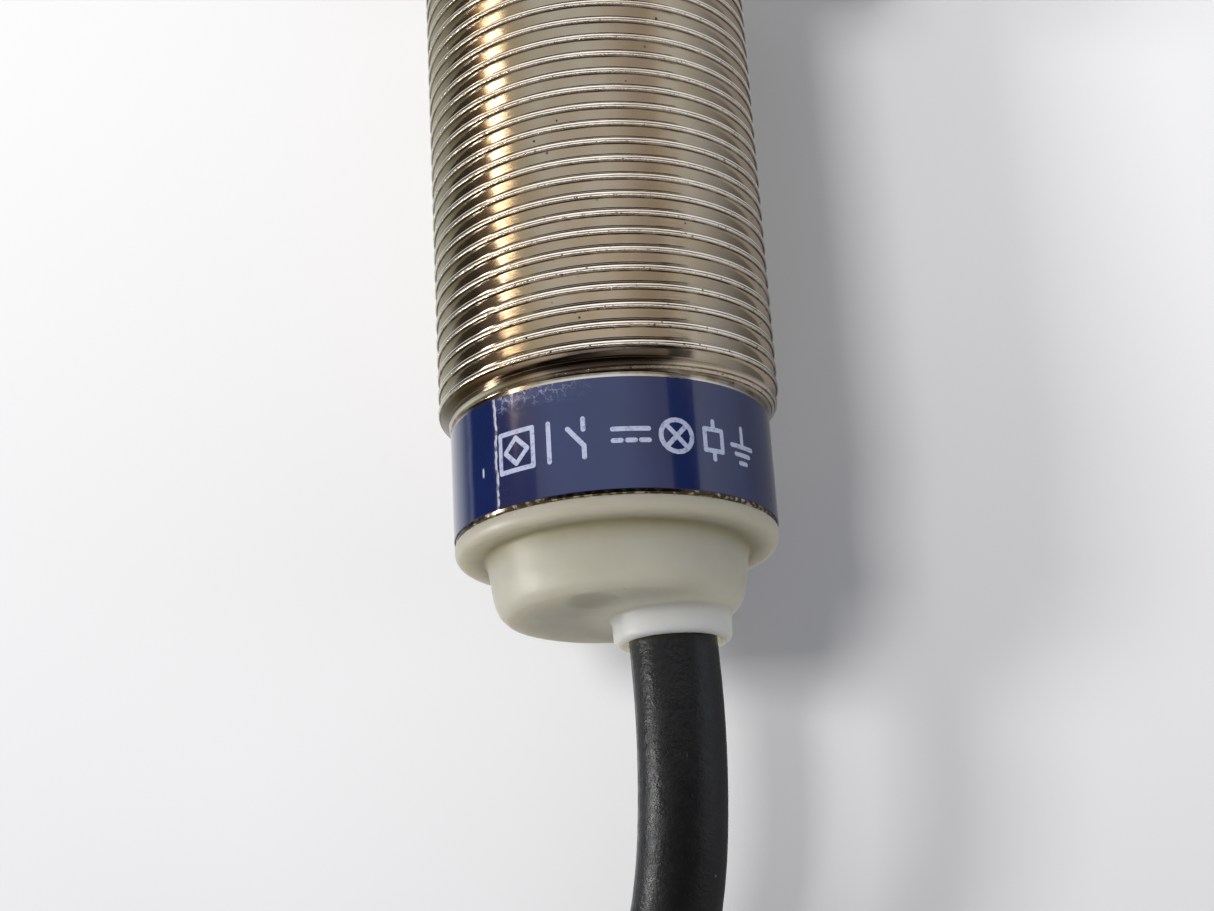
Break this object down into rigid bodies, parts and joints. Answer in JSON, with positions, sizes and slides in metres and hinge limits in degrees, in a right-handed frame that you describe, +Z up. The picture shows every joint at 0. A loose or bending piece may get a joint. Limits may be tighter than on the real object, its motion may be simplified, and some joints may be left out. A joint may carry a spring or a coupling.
{
  "type": "proximity sensor",
  "caption": "Cylindrical inductive proximity sensor: threaded M18 metal barrel, blue label band, ivory rear cap, black cable folded in a hank, hexagon nuts and toothed lock washers.",
  "frame": {"origin": "centre of the flat sensing face", "axes": "+Y along the barrel's axis, out of the sensing face; +Z up, away from the surface that the nuts' lower flats rest on"},
  "size_m": [0.0433, 0.1764, 0.0246],
  "materials": {
    "nickel_plated_brass": "nickel plated, satin with fine machining lines",
    "label_foil": "gloss printed foil",
    "cap_plastic": "translucent ivory, satin",
    "cable_sheath": "black PVC, satin",
    "clamp_metal": "pressed steel",
    "face_plastic": "fine matt",
    "bobbin_plastic": "matt",
    "seal_rubber": "matt",
    "ferrite": "sintered, matt",
    "enamelled_wire": "enamelled copper wire",
    "shield_copper": "bright copper",
    "board_laminate": "green solder mask",
    "chip_black": "moulded",
    "ceramic": "fired ceramic",
    "lamp_lens": "clear amber",
    "potting": "cast resin",
    "wire_brown": "satin",
    "wire_blue": "satin",
    "wire_black": "satin",
    "wire_white": "satin",
    "ferrule_metal": "tinned",
    "tie_plastic": "moulded nylon"
  },
  "bodies": {
    "sensor": {"housing_barrel": "nickel_plated_brass", "label_band": "label_foil", "sensing_face_cap": "face_plastic", "face_seal_ring": "seal_rubber", "ferrite_pot_core": "ferrite", "coil_bobbin": "bobbin_plastic", "coil_winding": "enamelled_wire", "shield_disc": "shield_copper", "coil_carrier": "bobbin_plastic", "circuit_board": "board_laminate", "oscillator_chip": "chip_black", "supply_capacitor": "ceramic", "filter_capacitor": "ceramic", "voltage_regulator": "chip_black", "output_transistor": "chip_black", "reverse_diode": "chip_black", "sense_resistor": "chip_black", "indicator_led": "lamp_lens", "potting_resin": "potting", "inner_core_brown": "wire_brown", "inner_core_blue": "wire_blue", "inner_core_black": "wire_black", "inner_core_white": "wire_white", "cable_clamp_ring": "clamp_metal", "cable_stub": "cable_sheath", "rear_cap": "cap_plastic", "cable_lead": "cable_sheath", "cable_hank": "cable_sheath", "hank_tie_left": "tie_plastic", "hank_tie_right": "tie_plastic", "cable_tail": "cable_sheath", "end_core_brown": "wire_brown", "end_core_blue": "wire_blue", "end_core_black": "wire_black", "end_core_white": "wire_white", "end_ferrule_brown": "ferrule_metal", "end_ferrule_blue": "ferrule_metal", "end_ferrule_black": "ferrule_metal", "end_ferrule_white": "ferrule_metal"},
    "front_washer": {"front_lock_washer": "nickel_plated_brass"},
    "front_nut": {"front_nut": "nickel_plated_brass"},
    "rear_washer": {"rear_lock_washer": "nickel_plated_brass"},
    "rear_nut": {"rear_nut": "nickel_plated_brass"}
  },
  "joints": [
    {"name": "front_nut_travel", "type": "slide", "parent": "sensor", "child": "front_washer", "axis": [0, 1, 0], "range_m": [-0.006, 0.001]},
    {"name": "front_nut_turn", "type": "hinge", "parent": "front_washer", "child": "front_nut", "pos_m": [0, -0.003, 0], "axis": [0, 1, 0], "range_deg": [-2160, 360]},
    {"name": "rear_nut_travel", "type": "slide", "parent": "sensor", "child": "rear_washer", "axis": [0, 1, 0], "range_m": [-0.03, 0.002]},
    {"name": "rear_nut_turn", "type": "hinge", "parent": "rear_washer", "child": "rear_nut", "pos_m": [0, -0.018, 0], "axis": [0, 1, 0], "range_deg": [-10800, 720]}
  ],
  "couplings": [
    {"joint": "front_nut_turn", "follows": "front_nut_travel", "rad_per_m": 6283.2},
    {"joint": "rear_nut_turn", "follows": "rear_nut_travel", "rad_per_m": 6283.2}
  ]
}
